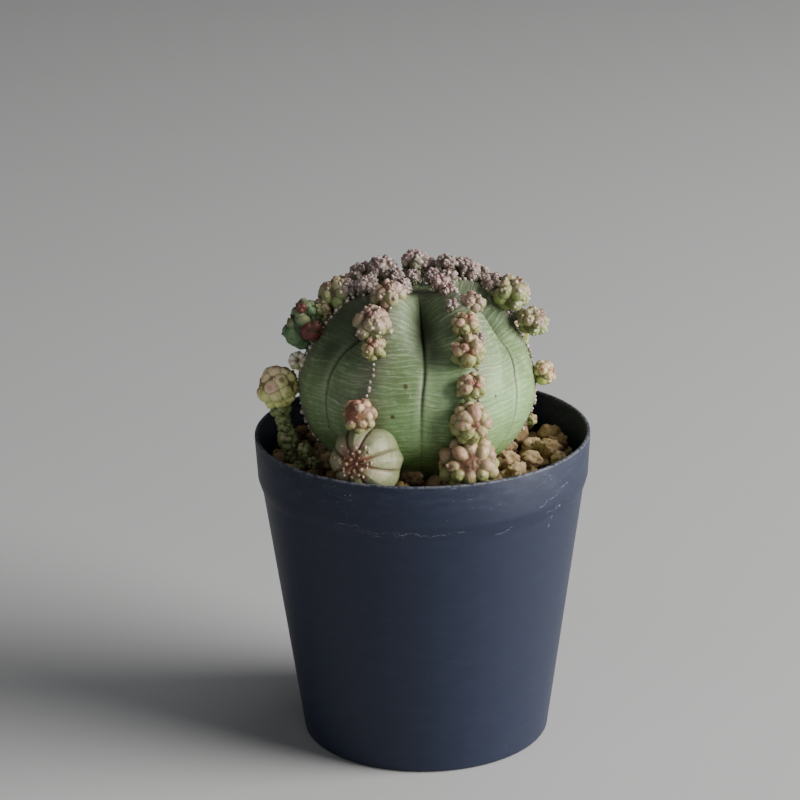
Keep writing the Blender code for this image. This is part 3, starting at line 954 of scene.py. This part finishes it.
def lone_bead(draw):
    """A ball with nothing on it."""
    return [Blob((0, 0, 0), (1.0, 1.0, 1.0), tone=draw.uniform(0.25, 0.95), bead=1.0)]


# How each kind of offset is made up. A ring has a count, an angle, a width and a length.
BIG_RINGS = ((8, 40, 0.24, 0.3), (10, 74, 0.27, 0.31), (12, 106, 0.26, 0.28))
RINGS = ((8, 48, 0.28, 0.38), (10, 92, 0.29, 0.36), (6, 125, 0.3, 0.3))
SMALL_RINGS = ((9, 60, 0.23, 0.5), (9, 104, 0.27, 0.36))
KINDS = {
    "big_rosette": lambda draw: rosette(draw, BIG_RINGS),
    "rosette": lambda draw: rosette(draw, RINGS),
    "small_rosette": lambda draw: rosette(draw, SMALL_RINGS),
    "rosy": lambda draw: flushed(cluster(draw, 22, 0.31, 1, 0.05, 130, 0.15, 1.1)),
    "cluster": cluster,
    "fine_cluster": lambda draw: cluster(draw, 28, 0.31, 1, 0.06, 140, 0.45, 1.1),
    "beaded": lambda draw: cluster(draw, 15, 0.34, 4, 0.085, spot=0.6),
    "crumbly": lambda draw: cluster(draw, 13, 0.36, 8, 0.11, spot=0.7),
    "lumpy": lambda draw: cluster(draw, 13, 0.36, 1, 0.07, 150, 0.2),
    "red_lump": lambda draw: cluster(draw, 8, 0.46, 1, 0.07, 150, 0.2),
    "knobs": lambda draw: cluster(draw, 14, 0.34, 1, 0.1, 160, 0.3),
    "ring": ring_of_lobes,
    "bead": lone_bead,
}

# How big the ball is that the lobes stand on, where not of the usual size
CORE_SIZES = {
    "rosy": 0.86,
    "fine_cluster": 0.78,
    "big_rosette": 0.83,
    "rosette": 0.74,
    "small_rosette": 0.7,
    "ring": 0.5,
    "bead": 0.5,
}
USUAL_CORE_SIZE = 0.72


def outward_frame(growth):
    """Columns: right, up and out as seen by someone whom the offset grows towards."""
    right = np.cross([0, 0, 1], growth)
    right /= np.linalg.norm(right)
    return np.stack([right, np.cross(growth, right), growth], 1)


class Seat:
    """Where an offset sits and which way it grows."""

    def __init__(self, centre, radius, lift=0.15, facing=None):
        side = np.array([centre[0] - STEM_X, centre[1], centre[2] - STEM_Z])
        scaled = side / np.array([STEM_RADIUS**2, STEM_RADIUS**2, STEM_HALF_HEIGHT**2])
        self.outward = scaled / np.linalg.norm(scaled)
        self.centre = np.array(centre, float)
        self.radius = radius
        rise = lift + 1.2 * max(0.0, -self.outward[2])
        growth = self.outward + np.array([0, 0, rise * (1 - abs(self.outward[2]))])
        if facing is not None:
            growth = np.array(facing, float)
        self.frame = outward_frame(growth / np.linalg.norm(growth))

    @classmethod
    def of_offset(cls, offset):
        """Reads the ball that the CAD node was cut from: its foot is sunk into the stem."""
        points = points_of(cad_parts["offset_" + offset])
        first = cls(points.mean(0), 0.0)
        along = (points - first.centre) @ first.outward
        across = (points - first.centre) - along[:, None] * first.outward
        radius = np.linalg.norm(across, axis=1).max()
        centre = first.centre + first.outward * (along.max() - radius)
        centre += np.array(SEAT_SHIFTS.get(offset, (0.0, 0.0, 0.0))) * MM
        plumpness = PLUMPNESS.get(offset, USUAL_PLUMPNESS)
        return cls(centre, radius * plumpness, facing=FACINGS.get(offset))

    @classmethod
    def on_rib(cls, rib, latitude, shift, radius, height=0.45):
        """A place beside a rib's crest, with its middle a share of its radius off the skin."""
        number = RIBS.index(rib)
        azimuth = sum(rib_ends(number)) / 2 + shift + lean(number, 0.0, latitude)
        skin = stem_surface(azimuth, latitude, 0.0, number)
        return cls(skin + stem_normal(azimuth, latitude) * radius * height, radius)


def swell(ball_mesh, blobs, core):
    """Blows a ball of radius 1 out onto its blobs, and tells what each point is part of."""
    soft = 0.045
    ways = ways_of(ball_mesh)
    best = np.full(len(ways), core)
    second = np.zeros(len(ways))
    winner = np.full(len(ways), -1)
    for i, blob in enumerate(blobs):
        reach = blob.reach(ways)
        wins = reach > best
        second = np.where(wins, best, np.maximum(second, reach))
        best = np.where(wins, reach, best)
        winner[wins] = i
    near = np.maximum(0, 1 - (best - second) / soft)
    points = ways * best[:, None]
    marks = {name: np.zeros(len(ways)) for name in ("tone", "red", "spot", "bead", "rise")}
    for i, blob in enumerate(blobs):
        mine = winner == i
        for name in ("tone", "red", "bead"):
            marks[name][mine] = getattr(blob, name)
        height = blob.height(points[mine])
        marks["rise"][mine] = height
        marks["spot"][mine] = blob.spot * smoothstep(0.86, 0.99, height)
    reach = best + soft * near**2 / 4 - 0.035 * marks["spot"]
    if len(blobs) > 2:
        folds = [noise.noise(Vector(w) * 6) + 0.45 * noise.noise(Vector(w) * 15) for w in ways]
        reach += 0.03 * np.array(folds)
    marks["crease"] = np.exp(-np.maximum(best - second, 0) / 0.035)
    marks["crease"][winner < 0] = 1.0
    marks["heart"] = smoothstep(cos(radians(38)), 1.0, ways[:, 2])
    marks["under"] = smoothstep(0.15, -0.7, ways[:, 2])
    return ways * reach[:, None], marks


def melon(ball_mesh, draw):
    """A young plant with uneven ribs, thin furrows and a red crown of buds."""
    ways = ways_of(ball_mesh)
    furrows = np.radians(MELON_FURROWS)
    around = np.arctan2(ways[:, 1], ways[:, 0])
    away = np.arccos(np.clip(ways[:, 2], -1, 1))
    gaps = np.abs((around[:, None] - furrows + pi) % (2 * pi) - pi)
    spread = np.sin(away)
    nearest = gaps.min(1) * spread
    groove = np.exp(-((nearest / 0.045) ** 2))
    valley = np.exp(-((nearest / 0.26) ** 2)) * smoothstep(0.0, 0.5, spread)
    fade = smoothstep(radians(115), radians(60), away)
    reach = 1.0 - 0.08 * valley - 0.045 * groove * fade - 0.12 * np.exp(-((away / 0.22) ** 2))
    buds = []
    for i in range(20):
        at = radians(4 + 4.4 * sqrt(i * 1.4))
        size = draw.uniform(0.025, 0.058)
        buds.append(Blob(polar(at, GOLDEN_TURN * i) * (0.925 - 0.02 * draw.random()), (size,) * 3))
    for furrow in furrows:
        for _ in range(draw.randint(1, 5)):
            at = radians(draw.uniform(22, 44))
            side = furrow + draw.choice((-1, 1)) * draw.uniform(0.2, 0.42)
            size = draw.uniform(0.014, 0.038)
            buds.append(Blob(polar(at, side) * 0.965, (size, size * 1.4, size)))
    bead = np.zeros(len(ways))
    for bud in buds:
        out = bud.reach(ways)
        wins = out > reach
        reach = np.where(wins, out, reach)
        bead[wins] = 1.0
    crown = smoothstep(radians(38), radians(12), away)
    upper = smoothstep(radians(48), radians(22), away)
    marks = {
        "crease": np.maximum(groove * fade, crown * 0.8 * (1 - bead)),
        "red": np.maximum(groove * upper, crown * 0.7),
        "bead": bead,
        "away": away / pi,
    }
    return ways * reach[:, None], marks


def put_up(piece, points, marks, seat):
    """Sets a swollen ball on its seat and keeps its marks for the materials."""
    spin = seat.frame
    move_points(piece, points * seat.radius @ spin.T + seat.centre)
    for name, values in marks.items():
        store(piece, name, values)
    normal = points / np.linalg.norm(points, axis=1)[:, None] @ spin.T
    store(piece, "sunny", normal[:, 2])
    return piece


def make_cluster(name, kind, seat, seed, fineness=BUD):
    draw = random.Random(seed)
    blobs = KINDS[kind](draw)
    inward = -seat.outward @ seat.frame
    blobs.append(Blob(inward * 0.5, (0.46, 0.46, 0.46), tone=0.1))
    piece = ball(name, fineness)
    points, marks = swell(piece, blobs, CORE_SIZES.get(kind, USUAL_CORE_SIZE))
    return put_up(piece, points, marks, seat)


def make_melon(name, seat, seed):
    piece = ball(name, MELON)
    points, marks = melon(piece, random.Random(seed))
    return put_up(piece, points, marks, seat)


def bud_skin(name, pale, flush, green, beads, dark, red):
    """Skin of an offset: flushed above, greener below, with dark seams and a red heart."""
    look = Look(name, 0.46, Specular_IOR_Level=0.35)
    tone = look.stored("tone")
    uneven = tone - 0.5
    fine = look.noise(0.3, 3.0, 0.6)
    patch = look.noise(1.1, 3.0, 0.55)
    sun = (look.stored("sunny") + (patch - 0.5) * 1.2 + uneven * 0.8).step(-0.45, 0.65)
    rise = look.stored("rise").step(0.15, 0.85)
    look.paint(
        green,
        (sun, pale),
        (sun * rise * (patch + uneven * 0.6).step(0.35, 0.68), flush),
        ((1 - rise) * 0.35, green),
        (look.stored("under") * 0.7, green),
        (fine.step(0.52, 0.75) * 0.3, beads),
        (look.stored("red") * 0.8, red),
        (look.stored("spot") * 0.8, tuple(0.65 * part for part in red)),
        (look.stored("heart") * 0.45, red),
        (look.stored("crease") * 0.82, dark),
        (look.stored("bead") * tone.step(0.35, 0.95) * 0.7, beads),
    )
    look.bump(fine + patch, 0.05)
    return look.material


def melon_skin():
    """Pale grey-green ribs with faint cross lines round a dark red crown."""
    look = Look("ribbed_offset_skin", 0.46, Specular_IOR_Level=0.35)
    fine = look.noise(0.35, 3.0, 0.6)
    patch = look.noise(2.2, 3.0, 0.6)
    away = look.stored("away")
    lines = look.noise(0.9, 2.0, place=look.join(patch * 1.5, away * 26.0, 0.0))
    mottle = look.noise(0.9, 4.0, 0.65)
    upper = away.step(0.36, 0.16)
    look.paint(
        (0.205, 0.23, 0.12),
        (patch.step(0.35, 0.65), (0.285, 0.3, 0.18)),
        (away.step(0.38, 0.58) * 0.8, (0.225, 0.3, 0.11)),
        (lines.step(0.52, 0.68) * 0.55, (0.43, 0.42, 0.29)),
        (mottle.step(0.49, 0.58) * 0.55, (0.25, 0.18, 0.12)),
        (mottle.step(0.49, 0.4) * 0.55, (0.11, 0.165, 0.055)),
        (patch.step(0.5, 0.66) * upper * 0.8, (0.25, 0.145, 0.11)),
        (look.stored("crease") * 0.88, (0.085, 0.06, 0.022)),
        (look.stored("red") * 0.85, (0.15, 0.04, 0.024)),
        (look.stored("bead") * mottle.step(0.35, 0.6) * 0.8, (0.46, 0.32, 0.24)),
    )
    look.bump(fine + patch, 0.05)
    return look.material


def make_green_offset(name, seat, seed):
    """Dark green lumps piled up, with two dark red ones."""
    pieces = [make_cluster(name, "lumpy", seat, seed)]
    for i, (x, y, z, size, kind) in enumerate(GREEN_LUMPS):
        centre = seat.centre + np.array([x, y, z]) * MM
        pieces.append(make_cluster("green_lump", kind, Seat(centre, size * MM), seed + 1 + i))
        if kind == "red_lump":
            marks = pieces[-1].data.attributes["red"].data
            marks.foreach_set("value", np.full(len(marks), LUMP_RED, np.float32))
    return join(name, pieces)


def make_side_branch():
    """A knobbly column out of the soil, with a few stray knobs at its foot."""
    low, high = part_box("side_branch")
    side = 2.7 * MM
    top = np.array([low.x + side, (low.y + high.y) / 2, high.z - 1.0 * MM])
    foot = np.array([high.x - side, (low.y + high.y) / 2, low.z + 1.0 * MM])
    pieces = []
    for i in range(BRANCH_PARTS):
        centre = top + (foot - top) * i / (BRANCH_PARTS - 1)
        seat = Seat(centre, (2.2 + 0.5 * sin(2.2 * i + 1.5)) * MM)
        pieces.append(make_cluster("branch_part", "knobs", seat, BRANCH_SEED + i))
    for i, (x, y, z, size) in enumerate(BRANCH_KNOBS):
        seat = Seat((x * MM, y * MM, z * MM), size * MM)
        pieces.append(make_cluster("branch_knob", "knobs", seat, KNOB_SEED + i, SMALL_BUD))
    return join("side_branch_column", pieces)


def make_crest_buds(rib, seed):
    """The small clusters between a rib's offsets and the scars along its crest."""
    pieces = []
    for i, (latitude, shift, size) in enumerate(CREST_BUDS[rib]):
        seat = Seat.on_rib(rib, latitude, shift, size * MM)
        fineness = BUD if size > LARGE_BUD else SMALL_BUD
        pieces.append(make_cluster("crest_bud", "crumbly", seat, seed + i, fineness))
    draw = random.Random(seed)
    latitude, last = SCAR_LATITUDES
    while latitude < last:
        size = draw.uniform(*SCAR_RADII) * MM
        seat = Seat.on_rib(rib, latitude, draw.uniform(-0.9, 0.9), size, 0.2)
        pieces.append(make_cluster("scar", "bead", seat, draw.random(), SCAR))
        latitude += draw.uniform(1.4, 3.8)
    return join("crest_buds_" + rib, pieces)


# Soil


def grain(name, draw, place, radius, fineness):
    """A rough, pitted lump of fired clay."""
    piece = ball(name, fineness)
    ways = ways_of(piece)
    seed = Vector((draw.uniform(0, 99), draw.uniform(0, 99), draw.uniform(0, 99)))
    stretch = np.array([1.0, draw.uniform(0.72, 0.95), draw.uniform(0.62, 0.85)])
    rough = np.array([noise.noise(Vector(way) * 1.5 + seed) for way in ways])
    knobs = np.array([abs(noise.noise(Vector(way) * 3.4 + seed)) for way in ways])
    grit = np.array([noise.noise(Vector(way) * 9.0 + seed) for way in ways])
    size = 0.88 + 0.34 * rough + 0.3 * knobs + 0.09 * grit
    pits = np.zeros(len(ways))
    for _ in range(draw.randint(5, 10)):
        way = any_way(draw)
        width = draw.uniform(0.1, 0.2)
        pits += np.exp(-((1 - ways @ way) * 2) / width**2)
    size -= 0.19 * np.minimum(pits, 1.3)
    turn = Matrix.Rotation(draw.uniform(0, 6.28), 3, "Z")
    turn = np.array(turn @ Matrix.Rotation(draw.uniform(-0.6, 0.6), 3, "X"))
    points = (ways * stretch * size[:, None] * radius) @ turn.T + np.array(place)
    move_points(piece, points)
    store(piece, "pit", np.minimum(pits, 1.0))
    store(piece, "tone", np.full(len(ways), draw.random()))
    return piece


def clay_colour():
    """Porous ochre clay, darker in its pits."""
    look = Look("clay_grains", 0.9, Specular_IOR_Level=0.2)
    tone = look.stored("tone")
    patch = look.noise(1.6, 3.0, 0.6)
    fine = look.noise(0.3, 3.0, 0.65)
    look.paint(
        (0.275, 0.182, 0.088),
        ((patch + (tone - 0.5) * 0.6).step(0.3, 0.7), (0.55, 0.4, 0.235)),
        (fine.step(0.55, 0.75) * 0.5, (0.5, 0.38, 0.24)),
        (fine.step(0.42, 0.3) * 0.6, (0.1, 0.055, 0.025)),
        (look.stored("pit") * 0.88, (0.06, 0.032, 0.016)),
    )
    look.bump(fine + patch * 0.5, 0.16)
    return look.material


def free_places(draw, near, far, radius_range, tries, height):
    """Places in the ring between the stem and the pot where grains fit side by side."""
    found = []
    for _ in range(tries):
        radius = draw.uniform(*radius_range) * MM
        distance = sqrt(draw.uniform(near**2, (far - radius) ** 2))
        azimuth = draw.uniform(0, 2 * pi)
        place = Vector((distance * sin(azimuth), -distance * cos(azimuth), 0))
        if all((place - other).length > 0.88 * (radius + size) for other, size in found):
            found.append((place, radius))
    for place, _ in found:
        place.z = height + draw.uniform(-0.5, 0.6) * MM
    return found


def make_grains():
    """Grains heaped up towards the stem, small ones below and large ones on top."""
    draw = random.Random(SOIL_SEED)
    inside = RIM_RADIUS - BAND_TAPER - POT_WALL - 0.5 * MM
    lower = free_places(draw, 12 * MM, inside, (1.5, 2.4), 5000, SOIL_LEVEL - 1.4 * MM)
    upper = free_places(draw, 17 * MM, inside, (2.3, 3.3), 900, SOIL_LEVEL + 0.9 * MM)
    pieces = []
    for i, (place, radius) in enumerate(lower + upper):
        heap = HEAP * (1 - (hypot(place.x, place.y) - 17 * MM) / (10 * MM))
        place.z += max(-1.0 * MM, min(HEAP, heap))
        fineness = SMALL_GRAIN if i < len(lower) else GRAIN
        pieces.append(grain(f"grain_{i}", draw, place, radius, fineness))
    return join("clay_grains", pieces)


def make_soil_bed():
    """The dark crumbled clay between and under the grains."""
    deselect_all()
    bpy.ops.mesh.primitive_uv_sphere_add(segments=96, ring_count=48, radius=1.0)
    bed = take_shape("soil_bed")
    floor = FOOT_HEIGHT + FLOOR_THICKNESS + 0.3 * MM
    rim = BED_TOP - 1 * MM
    slope = (RIM_RADIUS - BAND_TAPER - BASE_RADIUS) / (POT_HEIGHT - BAND_HEIGHT)
    moved = []
    for x, y, z in points_of(bed):
        away = hypot(x, y)
        if z >= 0:
            bump = noise.noise(Vector((x * 9, y * 9, 3))) * 0.8 * MM
            height = BED_TOP + bump if away < 0.95 else rim
        else:
            height = floor if away < 0.8 else floor + (rim - floor) * (away - 0.8) / 0.2
        share = min(1.0, away * 1.25)
        radius = (BASE_RADIUS - POT_WALL - 1.0 * MM + slope * (height - floor)) * share
        turn = atan2(y, x)
        moved.append((radius * cos(turn), radius * sin(turn), height))
    move_points(bed, moved)
    store(bed, "pit", np.ones(len(moved)))
    store(bed, "tone", np.zeros(len(moved)))
    return bed


# Scene


def make_floor():
    deselect_all()
    bpy.ops.mesh.primitive_plane_add(size=6.0)
    floor = take_shape("floor")
    look = Look("pale_floor", 0.8)
    look.paint((0.48, 0.48, 0.48), (look.noise(60.0, 2.0) * 0.3, (0.43, 0.43, 0.43)))
    floor.data.materials.append(look.material)


def add_light(name, place, size, power, colour):
    light = bpy.data.lights.new(name, "AREA")
    light.shape = "DISK"
    light.size = size
    light.energy = power
    light.color = colour
    obj = bpy.data.objects.new(name, light)
    obj.location = place
    obj.rotation_euler = (Vector(AIM) - Vector(place)).to_track_quat("-Z", "Y").to_euler()
    bpy.context.scene.collection.objects.link(obj)


def make_lights():
    for light in LIGHTS:
        add_light(*light)
    world = bpy.data.worlds.new("studio")
    bpy.context.scene.world = world
    world.use_nodes = True
    background = world.node_tree.nodes["Background"]
    background.inputs["Color"].default_value = WORLD_COLOUR
    background.inputs["Strength"].default_value = WORLD_STRENGTH


def make_camera():
    camera = bpy.data.cameras.new("camera")
    camera.lens = LENS
    camera.sensor_width = 36.0
    camera.clip_start = 0.01
    obj = bpy.data.objects.new("camera", camera)
    tilt = Matrix.Rotation(radians(90 - CAMERA_TILT), 4, "X")
    roll = Matrix.Rotation(radians(CAMERA_ROLL), 4, "Z")
    obj.matrix_world = Matrix.Translation(CAMERA_PLACE) @ tilt @ roll
    bpy.context.scene.collection.objects.link(obj)
    bpy.context.scene.camera = obj


def make_offset(offset, kind, seed, finishes):
    """Grows one offset in the place of its CAD node."""
    name = f"offset_{offset}_buds"
    seat = Seat.of_offset(offset)
    if kind == "melon":
        piece, finish, slot = make_melon(name, seat, seed), "melon", "ribbed_offset_skin"
    elif kind == "lumpy":
        piece, finish, slot = make_green_offset(name, seat, seed), "green", "branch_skin"
    else:
        piece, slot = make_cluster(name, kind, seat, seed), "offset_buds"
        finish = OWN_SKINS.get(offset, KIND_SKINS.get(kind, USUAL_SKIN))
    finish_piece(piece, finishes[finish], slot, "offset_" + offset)


def main():
    make_camera()
    make_lights()
    make_floor()
    finish_piece(make_pot(), pot_plastic(), "pot_plastic", "pot", sharp=POT_SHARP)
    finish_piece(make_stem(), stem_skin(), "stem_skin", "main_stem")

    finishes = {name: bud_skin(name + "_buds", *colours) for name, colours in BUD_COLOURS.items()}
    finishes["green"] = bud_skin("green_lobes", *GREEN_COLOURS)
    finishes["melon"] = melon_skin()
    number = 0
    for rib in RIBS:
        for i, kind in enumerate(OFFSET_KINDS[rib], start=1):
            number += 1
            make_offset(f"{rib}_{i}", kind, number, finishes)
        crest_buds = make_crest_buds(rib, CREST_SEED * number)
        finish_piece(crest_buds, finishes["mauve"], "offset_buds")
    branch = bud_skin("branch_skin", *BRANCH_COLOURS)
    finish_piece(make_side_branch(), branch, "branch_skin", "side_branch")

    clay = clay_colour()
    grains = [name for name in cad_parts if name.startswith("soil_grain")]
    finish_piece(make_grains(), clay, "clay_soil", *grains)
    finish_piece(make_soil_bed(), clay, "clay_soil", "soil")


main()
